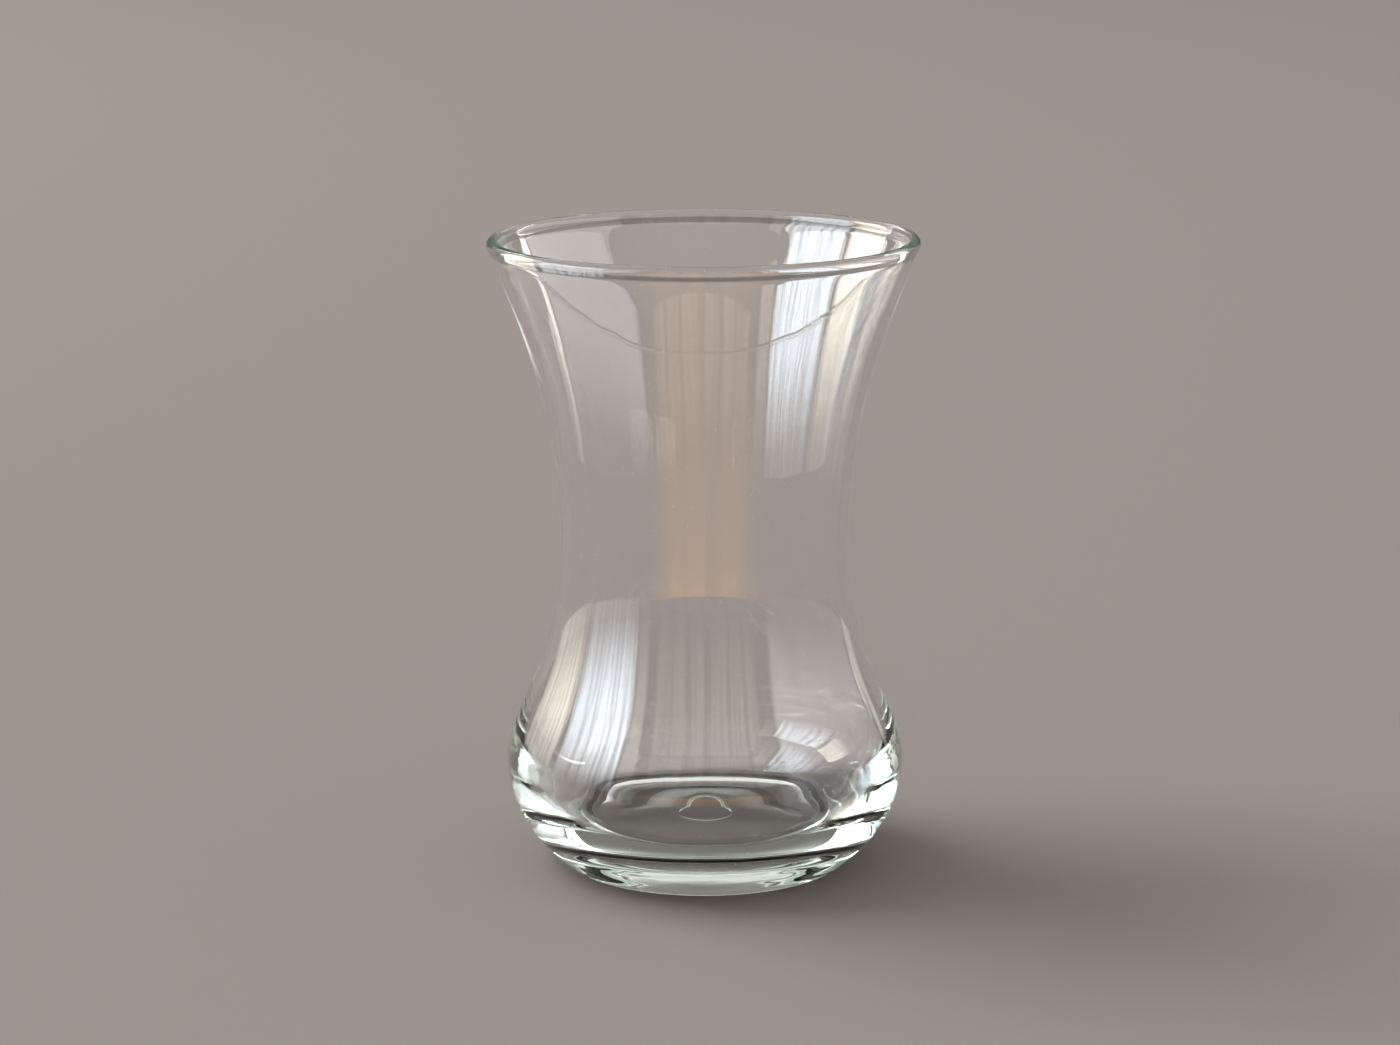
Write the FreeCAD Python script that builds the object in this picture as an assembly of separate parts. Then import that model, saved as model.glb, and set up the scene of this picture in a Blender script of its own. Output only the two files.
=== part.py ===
import FreeCAD, Part

import os
from math import cos, radians, sin

# A thin-waisted tea glass, blown in one piece from clear soda-lime glass.
# Millimetres, +Z up. The origin is the middle of the standing ring, on the surface
# that the glass stands on, and +Z is the axis that the whole glass is turned about.

NODE = "tea_glass"

# Outside of the glass, from the foot up.
HEIGHT = 80.0               # standing ring to the top of the lip
FOOT_RADIUS = 17.15         # outer edge of the flat ring that the glass stands on
FOOT_RING_WIDTH = 2.4       # width of that flat ring
FOOT_EDGE_ROUND = 1.6       # radius of the edge between the ring and the heel
HEEL_ANGLE = 45.0           # slope at which the heel leaves the foot, in degrees
BULB_RADIUS = 25.15         # widest part of the bulb
BULB_HEIGHT = 13.7
WAIST_RADIUS = 18.1         # narrowest part
WAIST_HEIGHT = 41.5
FLARE_ANGLE = 69.5          # slope of the wall just under the lip, in degrees
RIM_RADIUS = 27.0           # outside of the lip

# The lip is melted round by a flame, so it stands proud of the wall on both sides.
LIP_THICKNESS = 1.56        # the lip's round section, across
LIP_DEPTH = 2.0             # the lip's top down to where the plain wall starts
LIP_STEP = 0.5              # lip's outside to the outside of the wall at that depth

# Glass thickness, measured level.
RIM_WALL = 1.27
WAIST_WALL = 1.25
BULB_WALL = 2.0

# The heavy base, between the cavity and the hollow under the foot.
CAVITY_BULB_HEIGHT = 15.2   # where the cavity is widest
FLOOR_RADIUS = 14.6         # flat floor of the cavity
FLOOR_HEIGHT = 4.8          # that floor above the table
PUNT_RISE = 0.9             # how high the hollow under the foot is in its middle

# How far each curve runs straight on at its ends before it bends away,
# as a share of the straight distance between the two ends.
HEEL_LEAVES_FOOT = 0.11
HEEL_MEETS_BULB = 0.55
BULB_LEAVES_UP = 0.195
WAIST_FROM_BELOW = 0.525
WAIST_LEAVES_UP = 0.46
FLARE_MEETS_LIP = 0.22
LIP_SWELLS = 0.4
CAVITY_LEAVES_FLOOR = 0.26
CAVITY_MEETS_BULB = 0.52

LEVEL = 0.0                 # directions in degrees from level, outwards
UPRIGHT = 90.0


def point(radius, height):
    """A place on the outline, by its radius and its height."""
    return FreeCAD.Vector(radius, 0, height)


def step(length, angle):
    """A move of that length, at an angle above level, away from the axis."""
    return FreeCAD.Vector(length * cos(radians(angle)), 0, length * sin(radians(angle)))


def flow(start, start_angle, start_share, end, end_angle, end_share):
    """A smooth curve that leaves start and meets end at the given angles."""
    span = (end - start).Length
    curve = Part.BezierCurve()
    curve.setPoles([
        start,
        start + step(span * start_share, start_angle),
        end - step(span * end_share, end_angle),
        end,
    ])
    return curve.toShape()


def arc(start, middle, end):
    """A circular arc through three places."""
    return Part.Arc(start, middle, end).toShape()


def straight(start, end):
    """A straight edge."""
    return Part.LineSegment(start, end).toShape()


def foot_edges():
    """Under the glass: the hollow, the standing ring and the ring's rounded edge."""
    ring_inside = FOOT_RADIUS - FOOT_RING_WIDTH
    dome_radius = (ring_inside ** 2 + PUNT_RISE ** 2) / (2 * PUNT_RISE)
    half_way = ring_inside / 2
    dome_drop = dome_radius - (dome_radius ** 2 - half_way ** 2) ** 0.5
    hollow = arc(point(0, PUNT_RISE), point(half_way, PUNT_RISE - dome_drop), point(ring_inside, 0))

    ring = straight(point(ring_inside, 0), point(FOOT_RADIUS, 0))

    centre = point(FOOT_RADIUS, FOOT_EDGE_ROUND)
    half_turn = centre - step(FOOT_EDGE_ROUND, UPRIGHT + HEEL_ANGLE / 2)
    edge = arc(point(FOOT_RADIUS, 0), half_turn, heel_start())
    return [hollow, ring, edge]


def heel_start():
    """Where the foot's rounded edge ends and the heel begins."""
    return point(FOOT_RADIUS, FOOT_EDGE_ROUND) - step(FOOT_EDGE_ROUND, UPRIGHT + HEEL_ANGLE)


def outer_edges():
    """The outside, from the heel through the bulb and the waist to the lip."""
    bulb = point(BULB_RADIUS, BULB_HEIGHT)
    waist = point(WAIST_RADIUS, WAIST_HEIGHT)
    under_lip = point(RIM_RADIUS - LIP_STEP, HEIGHT - LIP_DEPTH)
    return [
        flow(heel_start(), HEEL_ANGLE, HEEL_LEAVES_FOOT, bulb, UPRIGHT, HEEL_MEETS_BULB),
        flow(bulb, UPRIGHT, BULB_LEAVES_UP, waist, UPRIGHT, WAIST_FROM_BELOW),
        flow(waist, UPRIGHT, WAIST_LEAVES_UP, under_lip, FLARE_ANGLE, FLARE_MEETS_LIP),
    ]


def lip_edges():
    """The round lip: a half circle, eased into the wall outside and inside."""
    lip_round = LIP_THICKNESS / 2
    round_height = HEIGHT - lip_round
    wall_outside = point(RIM_RADIUS - LIP_STEP, HEIGHT - LIP_DEPTH)
    wall_inside = wall_outside - step(RIM_WALL, LEVEL)
    outside = point(RIM_RADIUS, round_height)
    top = point(RIM_RADIUS - lip_round, HEIGHT)
    inside = point(RIM_RADIUS - LIP_THICKNESS, round_height)
    return [
        flow(wall_outside, FLARE_ANGLE, LIP_SWELLS, outside, UPRIGHT, LIP_SWELLS),
        arc(outside, top, inside),
        flow(inside, -UPRIGHT, LIP_SWELLS, wall_inside, FLARE_ANGLE - 180, LIP_SWELLS),
    ]


def cavity_edges():
    """The inside, from under the lip down to the middle of the floor."""
    under_lip = point(RIM_RADIUS - LIP_STEP - RIM_WALL, HEIGHT - LIP_DEPTH)
    waist = point(WAIST_RADIUS - WAIST_WALL, WAIST_HEIGHT)
    bulb = point(BULB_RADIUS - BULB_WALL, CAVITY_BULB_HEIGHT)
    floor_edge = point(FLOOR_RADIUS, FLOOR_HEIGHT)
    down = -UPRIGHT
    inwards = LEVEL - 180
    return [
        flow(under_lip, FLARE_ANGLE - 180, FLARE_MEETS_LIP, waist, down, WAIST_LEAVES_UP),
        flow(waist, down, WAIST_FROM_BELOW, bulb, down, BULB_LEAVES_UP),
        flow(bulb, down, CAVITY_MEETS_BULB, floor_edge, inwards, CAVITY_LEAVES_FLOOR),
        straight(floor_edge, point(0, FLOOR_HEIGHT)),
    ]


def tea_glass():
    """The whole glass: one closed outline turned once about its axis."""
    edges = foot_edges() + outer_edges() + lip_edges() + cavity_edges()
    edges.append(straight(point(0, FLOOR_HEIGHT), point(0, PUNT_RISE)))
    section = Part.Face(Part.Wire(edges))
    return section.revolve(FreeCAD.Vector(0, 0, 0), FreeCAD.Vector(0, 0, 1), 360)


def main():
    """Make the glass and write it as one STEP file."""
    os.makedirs("parts", exist_ok=True)
    glass = tea_glass()
    glass.exportStep(f"parts/{NODE}.step")
    print(f"{NODE}: valid {glass.isValid()}, {len(glass.Solids)} solid, {glass.Volume / 1000:.2f} cm3")


main()
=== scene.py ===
from math import atan2, cos, degrees, pi, radians, sin, tan, tau

import bmesh
import bpy
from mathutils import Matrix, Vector
from mathutils.geometry import interpolate_bezier


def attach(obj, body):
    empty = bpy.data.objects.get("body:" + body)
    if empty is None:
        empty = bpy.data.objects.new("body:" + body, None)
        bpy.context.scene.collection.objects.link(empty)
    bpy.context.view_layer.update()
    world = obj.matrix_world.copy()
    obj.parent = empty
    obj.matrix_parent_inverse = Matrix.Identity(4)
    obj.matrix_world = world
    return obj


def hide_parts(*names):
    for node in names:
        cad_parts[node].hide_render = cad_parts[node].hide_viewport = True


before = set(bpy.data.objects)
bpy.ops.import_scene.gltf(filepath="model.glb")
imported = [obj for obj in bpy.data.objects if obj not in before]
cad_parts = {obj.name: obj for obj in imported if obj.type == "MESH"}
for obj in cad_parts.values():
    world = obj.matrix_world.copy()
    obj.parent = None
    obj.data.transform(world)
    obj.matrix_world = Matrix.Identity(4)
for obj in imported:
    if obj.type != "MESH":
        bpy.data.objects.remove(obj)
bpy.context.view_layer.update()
scene = bpy.context.scene


# The camera. It looks down a little at the glass from about half a metre away, through
# a long lens, with the glass filling about two thirds of the view's height.

MM = 0.001                      # metres in a millimetre
SENSOR_WIDTH = 36               # in the camera's own millimetres, as its lens is
CAMERA_LENS = 102.3
CAMERA_AWAY = 490.7 * MM        # from the glass's axis, level
CAMERA_HEIGHT = 147.8 * MM      # above the table
CAMERA_DOWN = 11.98             # degrees below level
CAMERA_ROLL = 0.18              # the glass leans this much to the left
CAMERA_TURN = 0.026             # so that the glass stands just right of the middle
NEAREST_SEEN = 10 * MM

camera_data = bpy.data.cameras.new("camera")
camera_data.sensor_width = SENSOR_WIDTH
camera_data.lens = CAMERA_LENS
camera_data.clip_start = NEAREST_SEEN
camera = bpy.data.objects.new("camera", camera_data)
scene.collection.objects.link(camera)
camera.location = (0, -CAMERA_AWAY, CAMERA_HEIGHT)
camera.rotation_euler = (radians(90 - CAMERA_DOWN), radians(CAMERA_ROLL), radians(CAMERA_TURN))
scene.camera = camera


# The glass itself, blown in one piece from clear soda-lime glass. Its lip is melted
# round by a flame, and its base is thick, with a shallow hollow underneath, so that it
# stands on a ring.

HEIGHT = 80.0 * MM
FOOT_RADIUS = 17.15 * MM        # outer edge of the ring that the glass stands on
FOOT_RING_WIDTH = 2.4 * MM
FOOT_EDGE_ROUND = 1.6 * MM
HEEL_ANGLE = 45.0               # slope at which the heel leaves the foot, in degrees
BULB_RADIUS = 25.15 * MM        # widest part of the bulb
BULB_HEIGHT = 13.7 * MM
WAIST_RADIUS = 18.1 * MM        # narrowest part
WAIST_HEIGHT = 41.5 * MM
FLARE_ANGLE = 69.5              # slope of the wall just under the lip, in degrees
RIM_RADIUS = 27.0 * MM          # outside of the lip
LIP_THICKNESS = 1.56 * MM       # the lip's round section, across
LIP_DEPTH = 2.0 * MM            # the lip's top down to where the plain wall starts
LIP_STEP = 0.5 * MM             # lip's outside to the wall's outside at that depth
RIM_WALL = 1.27 * MM            # walls are measured level
WAIST_WALL = 1.25 * MM
BULB_WALL = 2.0 * MM
CAVITY_BULB_HEIGHT = 15.2 * MM  # where the cavity is widest
FLOOR_RADIUS = 14.6 * MM        # flat floor of the cavity
FLOOR_HEIGHT = 4.8 * MM         # that floor above the table
PUNT_RISE = 0.9 * MM            # how high the hollow underneath is in its middle
MARK_RADIUS = 3.6 * MM          # a fine plain ridge, moulded in the hollow underneath
MARK_RISE = 0.07 * MM
MARK_WIDTH = 0.7 * MM
ROUND_STEPS = 288               # faces round the glass
SAME_PLACE = 1e-7               # corners nearer than this are one

# How far each curve runs straight on at its ends before it bends away, as a share of
# the straight distance between the two ends.
PUNT_LEAVES = 0.33
HEEL_LEAVES_FOOT = 0.11
HEEL_MEETS_BULB = 0.55
BULB_LEAVES_UP = 0.195
WAIST_FROM_BELOW = 0.525
WAIST_LEAVES_UP = 0.46
FLARE_MEETS_LIP = 0.22
LIP_SWELLS = 0.4
CAVITY_LEAVES_FLOOR = 0.26
CAVITY_MEETS_BULB = 0.52

# Directions in degrees from level, outwards, and each curve's number of steps.
UP = 90
DOWN = -90
INWARDS = 180
PUNT_STEPS = 120
FOOT_EDGE_STEPS = 6
HEEL_STEPS = 20
BULB_STEPS = 32
FLARE_STEPS = 28
LIP_SIDE_STEPS = 6
LIP_TOP_STEPS = 16
CAVITY_HEEL_STEPS = 24
FLOOR_STEPS = 4


def place(radius, height):
    """A place on the glass's outline, in the XZ plane."""
    return Vector((radius, 0, height))


def move(length, angle):
    """A move along the outline, by its angle above level."""
    return Vector((length * cos(radians(angle)), 0, length * sin(radians(angle))))


def flow(start, start_angle, start_share, end, end_angle, end_share, steps):
    """Places along a smooth curve that leaves start and meets end at given angles."""
    span = (end - start).length
    leave = start + move(span * start_share, start_angle)
    meet = end - move(span * end_share, end_angle)
    return interpolate_bezier(start, leave, meet, end, steps + 1)[1:]


def turn(centre, radius, from_angle, to_angle, steps):
    """Places along a circular arc, after its first one."""
    angles = [from_angle + (to_angle - from_angle) * i / steps for i in range(1, steps + 1)]
    return [centre + move(radius, angle) for angle in angles]


def glass_outline():
    """The section of the glass, from the middle underneath to the cavity's middle."""
    ring_inside = FOOT_RADIUS - FOOT_RING_WIDTH
    punt_slope = 2 * degrees(atan2(PUNT_RISE, ring_inside))
    foot_centre = place(FOOT_RADIUS, FOOT_EDGE_ROUND)
    bulb = place(BULB_RADIUS, BULB_HEIGHT)
    waist = place(WAIST_RADIUS, WAIST_HEIGHT)
    under_lip = place(RIM_RADIUS - LIP_STEP, HEIGHT - LIP_DEPTH)
    lip_middle = place(RIM_RADIUS - LIP_THICKNESS / 2, HEIGHT - LIP_THICKNESS / 2)
    lip_outside = lip_middle + move(LIP_THICKNESS / 2, 0)
    lip_inside = lip_middle + move(LIP_THICKNESS / 2, INWARDS)
    in_lip = under_lip - place(RIM_WALL, 0)
    in_waist = waist - place(WAIST_WALL, 0)
    in_bulb = place(BULB_RADIUS - BULB_WALL, CAVITY_BULB_HEIGHT)
    floor_edge = place(FLOOR_RADIUS, FLOOR_HEIGHT)
    inner_flare = FLARE_ANGLE - 180

    line = [place(0, PUNT_RISE)]
    line += flow(line[-1], 0, PUNT_LEAVES,
                 place(ring_inside, 0), -punt_slope, PUNT_LEAVES, PUNT_STEPS)
    for spot in line:
        off_mark = abs(spot.x - MARK_RADIUS) / (MARK_WIDTH / 2)
        if off_mark < 1:
            spot.z -= MARK_RISE * cos(off_mark * pi / 2) ** 2
    line += [place(FOOT_RADIUS - FOOT_RING_WIDTH / 2, 0), place(FOOT_RADIUS, 0)]
    line += turn(foot_centre, FOOT_EDGE_ROUND, DOWN, DOWN + HEEL_ANGLE, FOOT_EDGE_STEPS)
    line += flow(line[-1], HEEL_ANGLE, HEEL_LEAVES_FOOT, bulb, UP, HEEL_MEETS_BULB, HEEL_STEPS)
    line += flow(bulb, UP, BULB_LEAVES_UP, waist, UP, WAIST_FROM_BELOW, BULB_STEPS)
    line += flow(waist, UP, WAIST_LEAVES_UP,
                 under_lip, FLARE_ANGLE, FLARE_MEETS_LIP, FLARE_STEPS)
    line += flow(under_lip, FLARE_ANGLE, LIP_SWELLS, lip_outside, UP, LIP_SWELLS, LIP_SIDE_STEPS)
    line += turn(lip_middle, LIP_THICKNESS / 2, 0, INWARDS, LIP_TOP_STEPS)
    line += flow(lip_inside, DOWN, LIP_SWELLS, in_lip, inner_flare, LIP_SWELLS, LIP_SIDE_STEPS)
    line += flow(in_lip, inner_flare, FLARE_MEETS_LIP,
                 in_waist, DOWN, WAIST_LEAVES_UP, FLARE_STEPS)
    line += flow(in_waist, DOWN, WAIST_FROM_BELOW, in_bulb, DOWN, BULB_LEAVES_UP, BULB_STEPS)
    line += flow(in_bulb, DOWN, CAVITY_MEETS_BULB,
                 floor_edge, INWARDS, CAVITY_LEAVES_FLOOR, CAVITY_HEEL_STEPS)
    line += [place(FLOOR_RADIUS * (1 - i / FLOOR_STEPS), FLOOR_HEIGHT)
             for i in range(1, FLOOR_STEPS + 1)]
    return line


def glass_mesh():
    """The outline turned once about the glass's axis, closed at both middles."""
    bm = bmesh.new()
    corners = [bm.verts.new(spot) for spot in glass_outline()]
    edges = [bm.edges.new(pair) for pair in zip(corners, corners[1:])]
    bmesh.ops.spin(bm, geom=corners + edges, cent=(0, 0, 0), axis=(0, 0, 1), angle=tau,
                   steps=ROUND_STEPS, use_merge=True)
    bmesh.ops.remove_doubles(bm, verts=bm.verts, dist=SAME_PLACE)
    bmesh.ops.recalc_face_normals(bm, faces=bm.faces)
    for face in bm.faces:
        face.smooth = True
    mesh = bpy.data.meshes.new("blown_glass")
    bm.to_mesh(mesh)
    bm.free()
    return mesh


glass = bpy.data.objects.new("blown_glass", glass_mesh())
scene.collection.objects.link(glass)

GLASS_IOR = 1.515
GLASS_TINT = (0.80, 0.92, 0.86)
TINT_DENSITY = 18               # to a metre of glass
FLOW_DEPTH = 0.06 * MM          # the drawn lines' waves, from crest to trough
FLOW_SCALE = 150.0              # waves are about this many to a metre, level
FLOW_STRETCH = 0.16             # and this share as many from foot to lip
FLOW_DETAIL = 1.0
SPECK_SCALE = 700.0             # dried specks of water, to a metre
SPECK_SIZE = 0.05               # as a share of the space between specks
SPECK_ROUGHNESS = 0.35
SMEAR_SCALE = 45.0
SMEAR_STARTS = 0.48             # between these two levels of the noise, a smear grows
SMEAR_FULL = 0.75
SMEAR_ROUGHNESS = 0.03


def drawn_lines(nodes, links, spot):
    """Faint upright waves, left in the wall when the hot glass is drawn out."""
    stretch = nodes.new("ShaderNodeMapping")
    stretch.inputs["Scale"].default_value = (1, 1, FLOW_STRETCH)
    links.new(spot, stretch.inputs["Vector"])
    waves = nodes.new("ShaderNodeTexNoise")
    waves.inputs["Scale"].default_value = FLOW_SCALE
    waves.inputs["Detail"].default_value = FLOW_DETAIL
    links.new(stretch.outputs["Vector"], waves.inputs["Vector"])
    bump = nodes.new("ShaderNodeBump")
    bump.inputs["Distance"].default_value = FLOW_DEPTH
    links.new(waves.outputs["Fac"], bump.inputs["Height"])
    return bump.outputs["Normal"]


def specks(nodes, links, spot):
    """How rough the glass is: polished, but for tiny specks and a faint smear."""
    dots = nodes.new("ShaderNodeTexVoronoi")
    dots.inputs["Scale"].default_value = SPECK_SCALE
    links.new(spot, dots.inputs["Vector"])
    dot = nodes.new("ShaderNodeMapRange")
    dot.inputs["From Min"].default_value = SPECK_SIZE
    dot.inputs["From Max"].default_value = SPECK_SIZE / 2
    dot.inputs["To Max"].default_value = SPECK_ROUGHNESS
    links.new(dots.outputs["Distance"], dot.inputs["Value"])
    hazy = nodes.new("ShaderNodeTexNoise")
    hazy.inputs["Scale"].default_value = SMEAR_SCALE
    links.new(spot, hazy.inputs["Vector"])
    smear = nodes.new("ShaderNodeMapRange")
    smear.inputs["From Min"].default_value = SMEAR_STARTS
    smear.inputs["From Max"].default_value = SMEAR_FULL
    smear.inputs["To Max"].default_value = SMEAR_ROUGHNESS
    links.new(hazy.outputs["Fac"], smear.inputs["Value"])
    both = nodes.new("ShaderNodeMath")
    both.operation = "ADD"
    links.new(dot.outputs["Result"], both.inputs[0])
    links.new(smear.outputs["Result"], both.inputs[1])
    return both.outputs["Value"]


def clear_glass():
    """Clear soda-lime glass, pale green where it is thick."""
    material = bpy.data.materials.new("clear_glass")
    material.use_nodes = True
    nodes = material.node_tree.nodes
    links = material.node_tree.links
    surface = nodes["Principled BSDF"]
    surface.inputs["Base Color"].default_value = (1, 1, 1, 1)
    surface.inputs["IOR"].default_value = GLASS_IOR
    surface.inputs["Transmission Weight"].default_value = 1.0
    spot = nodes.new("ShaderNodeTexCoord").outputs["Object"]
    links.new(drawn_lines(nodes, links, spot), surface.inputs["Normal"])
    links.new(specks(nodes, links, spot), surface.inputs["Roughness"])
    tint = nodes.new("ShaderNodeVolumeAbsorption")
    tint.inputs["Color"].default_value = (*GLASS_TINT, 1)
    tint.inputs["Density"].default_value = TINT_DENSITY
    links.new(tint.outputs["Volume"], nodes["Material Output"].inputs["Volume"])
    return material


glass.data.materials.append(clear_glass())
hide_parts("tea_glass")
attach(glass, "root")


# The floor under the glass: a plain grey-beige table top, round and far wider than the
# view. It is matt and has no gloss, so the lights leave no streak on it.

TABLE_ACROSS = 40.0             # metres, as the lights' sizes are
TABLE_SIDES = 96
TABLE_COLOUR = (0.23, 0.208, 0.192)
TABLE_ROUGHNESS = 1.0
TABLE_GLOSS = 0.0

bm = bmesh.new()
bmesh.ops.create_circle(bm, cap_ends=True, radius=TABLE_ACROSS / 2, segments=TABLE_SIDES)
table_mesh = bpy.data.meshes.new("table_top")
bm.to_mesh(table_mesh)
bm.free()
table = bpy.data.objects.new("table_top", table_mesh)
scene.collection.objects.link(table)
table_finish = bpy.data.materials.new("pale_table")
table_finish.use_nodes = True
board = table_finish.node_tree.nodes["Principled BSDF"]
board.inputs["Base Color"].default_value = (*TABLE_COLOUR, 1)
board.inputs["Roughness"].default_value = TABLE_ROUGHNESS
board.inputs["Specular IOR Level"].default_value = TABLE_GLOSS
table.data.materials.append(table_finish)


# The lights. One soft light, high on the left, lights the table. What shows in the glass
# are upright cards round it, like curtained windows and a dim warm room: they light
# nothing else, are dimmer low down and don't show straight through the glass.

KEY_TURN = radians(112)         # round to the left from the camera's side
KEY_AWAY = 2.0
KEY_HEIGHT = 2.0
KEY_SIZE = 2.2
KEY_BRIGHTNESS = 6.0
KEY_COLOUR = (1.0, 0.985, 0.97)

key_data = bpy.data.lights.new("key_light", "AREA")
key_data.size = KEY_SIZE
key_data.color = KEY_COLOUR
key_data.energy = KEY_BRIGHTNESS * pi * KEY_SIZE ** 2
key = bpy.data.objects.new("key_light", key_data)
scene.collection.objects.link(key)
key.location = (-sin(KEY_TURN) * KEY_AWAY, -cos(KEY_TURN) * KEY_AWAY, KEY_HEIGHT)
key.rotation_euler = key.location.to_track_quat("Z", "Y").to_euler()
key.visible_camera = False
key.visible_glossy = False
key.visible_transmission = False

PANEL_AWAY = 0.5                # every card's distance from the glass's axis
PANEL_TOP = 0.39
PANEL_LOW = 0.08                # brightness at its foot, as a share of that higher up
PANEL_CLIMB = 0.7               # where it is fully bright, as a share of its height
SOFT_SIDE = 0.05                # width of its soft sides, as a share of its own width
PANEL_FOLDS = 13.0              # folds across a card, about
FOLD_DETAIL = 3.0
FOLD_DARK = 0.36                # between these two levels of the noise, a fold brightens
FOLD_BRIGHT = 0.58
SOME = 0.5                      # tells a count of 1 or more from none


def multiply(nodes, links, one, other):
    """The product of two sockets."""
    product = nodes.new("ShaderNodeMath")
    product.operation = "MULTIPLY"
    links.new(one, product.inputs[0])
    links.new(other, product.inputs[1])
    return product.outputs["Value"]


def map_range(nodes, links, value, from_min, from_max, to_min, smooth):
    """Maps a socket's range onto the range from to_min to 1."""
    ramp = nodes.new("ShaderNodeMapRange")
    ramp.interpolation_type = "SMOOTHSTEP" if smooth else "LINEAR"
    ramp.inputs["From Min"].default_value = from_min
    ramp.inputs["From Max"].default_value = from_max
    ramp.inputs["To Min"].default_value = to_min
    links.new(value, ramp.inputs["Value"])
    return ramp.outputs["Result"]


def upright_folds(nodes, links, across, scale, depth):
    """Uneven streaks that change with one socket only."""
    folds = nodes.new("ShaderNodeTexNoise")
    folds.noise_dimensions = "1D"
    folds.inputs["Scale"].default_value = scale
    folds.inputs["Detail"].default_value = FOLD_DETAIL
    links.new(across, folds.inputs["W"])
    fac = folds.outputs["Fac"]
    return map_range(nodes, links, fac, FOLD_DARK, FOLD_BRIGHT, 1.0 - depth, False)


def not_straight_through(nodes, links):
    """0 for light that has passed through glass and met no reflection, and otherwise 1."""
    path = nodes.new("ShaderNodeLightPath")
    passed = nodes.new("ShaderNodeMath")
    passed.operation = "GREATER_THAN"
    passed.inputs[1].default_value = SOME
    links.new(path.outputs["Transmission Depth"], passed.inputs[0])
    not_reflected = nodes.new("ShaderNodeMath")
    not_reflected.operation = "LESS_THAN"
    not_reflected.inputs[1].default_value = SOME
    links.new(path.outputs["Glossy Depth"], not_reflected.inputs[0])
    shown = nodes.new("ShaderNodeMath")
    shown.operation = "SUBTRACT"
    shown.inputs[0].default_value = 1.0
    hidden = multiply(nodes, links, passed.outputs["Value"], not_reflected.outputs["Value"])
    links.new(hidden, shown.inputs[1])
    return shown.outputs["Value"]


def streaked_light(data, colour, streaks, seed):
    """Makes a card dimmer low down and streaked from top to bottom, like a curtain."""
    data.use_nodes = True
    nodes = data.node_tree.nodes
    links = data.node_tree.links
    spot = nodes.new("ShaderNodeNewGeometry")
    sides = nodes.new("ShaderNodeSeparateXYZ")
    links.new(spot.outputs["Parametric"], sides.inputs["Vector"])
    shine = map_range(nodes, links, sides.outputs["Y"], 0.0, PANEL_CLIMB, PANEL_LOW, True)
    start = map_range(nodes, links, sides.outputs["X"], 0.0, SOFT_SIDE, 0.0, True)
    stop = map_range(nodes, links, sides.outputs["X"], 1.0, 1.0 - SOFT_SIDE, 0.0, True)
    across = nodes.new("ShaderNodeMath")
    across.operation = "ADD"
    across.inputs[1].default_value = seed
    links.new(sides.outputs["X"], across.inputs[0])
    folds = upright_folds(nodes, links, across.outputs["Value"], PANEL_FOLDS, streaks)
    for share in (start, stop, folds, not_straight_through(nodes, links)):
        shine = multiply(nodes, links, shine, share)
    glow = nodes["Emission"]
    glow.inputs["Color"].default_value = (*colour, 1)
    links.new(shine, glow.inputs["Strength"])


def panel(name, from_side, to_side, colour, brightness, streaks):
    """A soft upright card between two azimuths, in degrees round to the left from the
    camera's side, or to the right where they are below 0."""
    middle = radians((from_side + to_side) / 2)
    half = radians(abs(to_side - from_side) / 2)
    data = bpy.data.lights.new(name, "AREA")
    data.shape = "RECTANGLE"
    data.size = 2 * PANEL_AWAY * tan(half)
    data.size_y = PANEL_TOP
    data.energy = brightness * data.size * data.size_y * pi
    streaked_light(data, colour, streaks, from_side)
    light = bpy.data.objects.new(name, data)
    scene.collection.objects.link(light)
    light.location = (-sin(middle) * PANEL_AWAY, -cos(middle) * PANEL_AWAY, PANEL_TOP / 2)
    light.rotation_euler = (radians(90), 0, -middle)
    light.visible_camera = False
    light.visible_diffuse = False


panel("cool_panel", 53, 97, (0.80, 0.90, 1.0), 12, 0.6)
panel("curtain_edge", 42, 52, (1.0, 0.88, 0.80), 2, 0.3)
panel("warm_panel", 100, 132, (1.0, 0.93, 0.82), 11, 0.45)
panel("fill_panel", -48, -128, (0.97, 0.95, 1.0), 2.2, 0.1)
panel("narrow_panel", -129, -134, (1.0, 0.96, 0.88), 10, 0.0)
panel("room_panel", -40, 36, (1.0, 0.86, 0.74), 0.9, 0.85)


# A warm card lies in front of the glass, hidden from the camera, and shows as a soft
# amber glow in the front of the glass, from the lip down to the waist. Seen from the
# glass it is a fan with soft streaked edges, dimmer close by.

CARD_NEAR = 70 * MM             # from the glass's axis
CARD_FAR = 450 * MM
CARD_ACROSS = 900 * MM
CARD_COLOUR = (1.0, 0.38, 0.02)
CARD_BRIGHTNESS = 3.4
CARD_DIM = 0.3                  # brightness at its near end, as a share of its brightest
CARD_FULL = 300 * MM            # where it is brightest
CARD_SOFT = 60 * MM             # length of its soft far end
FAN_FULL = 0.3                  # sideways over forward distance, where it starts to fade
FAN_GONE = 1.0                  # and where it is gone
FAN_FOLDS = 4.0                 # streaks to each unit of that ratio, about
FAN_FOLD_DEPTH = 0.4
CARD_LIFT = 2 * MM              # above the table


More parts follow.
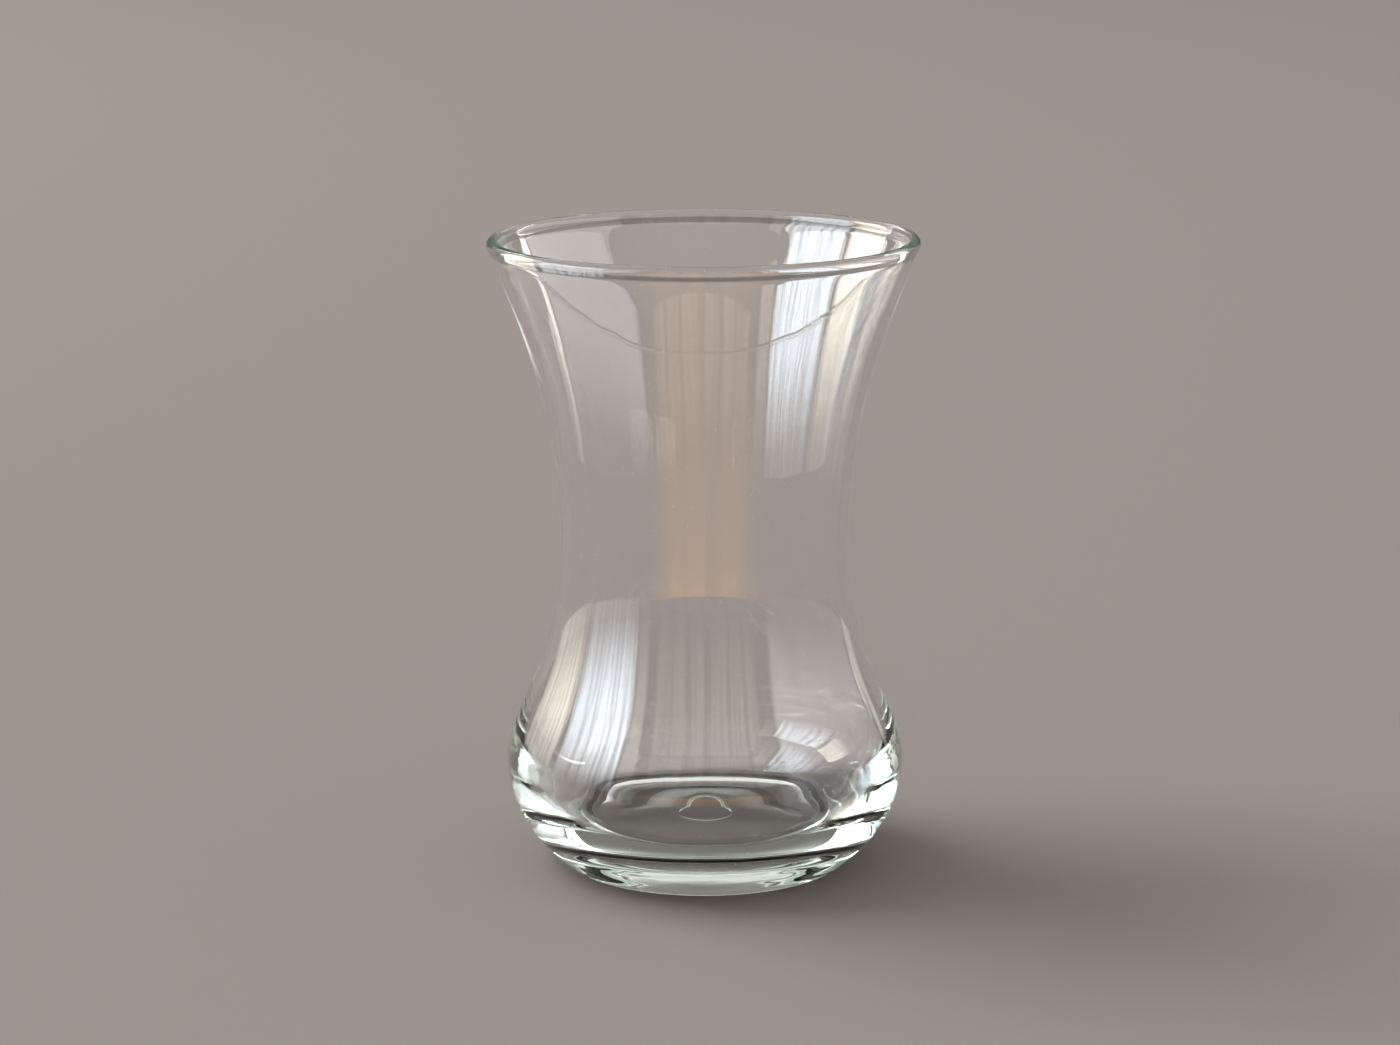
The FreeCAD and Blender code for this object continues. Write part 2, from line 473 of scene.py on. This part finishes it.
def fan_light(data):
    """Makes the card bright straight ahead of the glass and fade out all round."""
    data.use_nodes = True
    nodes = data.node_tree.nodes
    links = data.node_tree.links
    spot = nodes.new("ShaderNodeNewGeometry")
    sides = nodes.new("ShaderNodeSeparateXYZ")
    links.new(spot.outputs["Position"], sides.inputs["Vector"])
    aside = nodes.new("ShaderNodeMath")
    aside.operation = "DIVIDE"
    links.new(sides.outputs["X"], aside.inputs[0])
    links.new(sides.outputs["Y"], aside.inputs[1])
    either_side = nodes.new("ShaderNodeMath")
    either_side.operation = "ABSOLUTE"
    links.new(aside.outputs["Value"], either_side.inputs[0])
    shine = map_range(nodes, links, either_side.outputs["Value"], FAN_GONE, FAN_FULL, 0.0, True)
    ahead = sides.outputs["Y"]
    near_end = map_range(nodes, links, ahead, -CARD_NEAR, -CARD_FULL, CARD_DIM, False)
    far_end = map_range(nodes, links, ahead, -CARD_FAR, -CARD_FAR + CARD_SOFT, 0.0, True)
    folds = upright_folds(nodes, links, aside.outputs["Value"], FAN_FOLDS, FAN_FOLD_DEPTH)
    for share in (near_end, far_end, folds):
        shine = multiply(nodes, links, shine, share)
    glow = nodes["Emission"]
    glow.inputs["Color"].default_value = (*CARD_COLOUR, 1)
    links.new(shine, glow.inputs["Strength"])


card_data = bpy.data.lights.new("amber_card", "AREA")
card_data.shape = "RECTANGLE"
card_data.size = CARD_ACROSS
card_data.size_y = CARD_FAR - CARD_NEAR
card_data.energy = CARD_BRIGHTNESS * pi * card_data.size * card_data.size_y
fan_light(card_data)
card = bpy.data.objects.new("amber_card", card_data)
scene.collection.objects.link(card)
card.location = (0, -(CARD_NEAR + CARD_FAR) / 2, CARD_LIFT)
card.rotation_euler = (pi, 0, 0)
card.visible_camera = False
card.visible_diffuse = False
card.visible_transmission = False


# The room: a bright soft tent overhead that dims towards the horizon, where it is a dark
# warm grey.

ROOM_HORIZON = (0.1745, 0.1536, 0.1396)
ROOM_OVERHEAD = (1.00, 0.98, 0.97)
HORIZON_TOP = 0.30              # as the sine of the height above level
OVERHEAD_FROM = 0.75

world = bpy.data.worlds.new("room")
world.use_nodes = True
room_nodes = world.node_tree.nodes
room_links = world.node_tree.links
looking = room_nodes.new("ShaderNodeTexCoord")
height = room_nodes.new("ShaderNodeSeparateXYZ")
room_links.new(looking.outputs["Generated"], height.inputs["Vector"])
climb = room_nodes.new("ShaderNodeMapRange")
climb.interpolation_type = "SMOOTHSTEP"
climb.inputs["From Min"].default_value = HORIZON_TOP
climb.inputs["From Max"].default_value = OVERHEAD_FROM
room_links.new(height.outputs["Z"], climb.inputs["Value"])
shade = room_nodes.new("ShaderNodeMix")
shade.data_type = "RGBA"
shade.inputs["A"].default_value = (*ROOM_HORIZON, 1)
shade.inputs["B"].default_value = (*ROOM_OVERHEAD, 1)
room_links.new(climb.outputs["Result"], shade.inputs["Factor"])
room_links.new(shade.outputs["Result"], room_nodes["Background"].inputs["Color"])
scene.world = world

LIGHT_BOUNCES = 96              # enough to leave the solid ring of the lip
scene.view_settings.view_transform = "Standard"
scene.cycles.max_bounces = LIGHT_BOUNCES
scene.cycles.transmission_bounces = LIGHT_BOUNCES
scene.cycles.glossy_bounces = LIGHT_BOUNCES
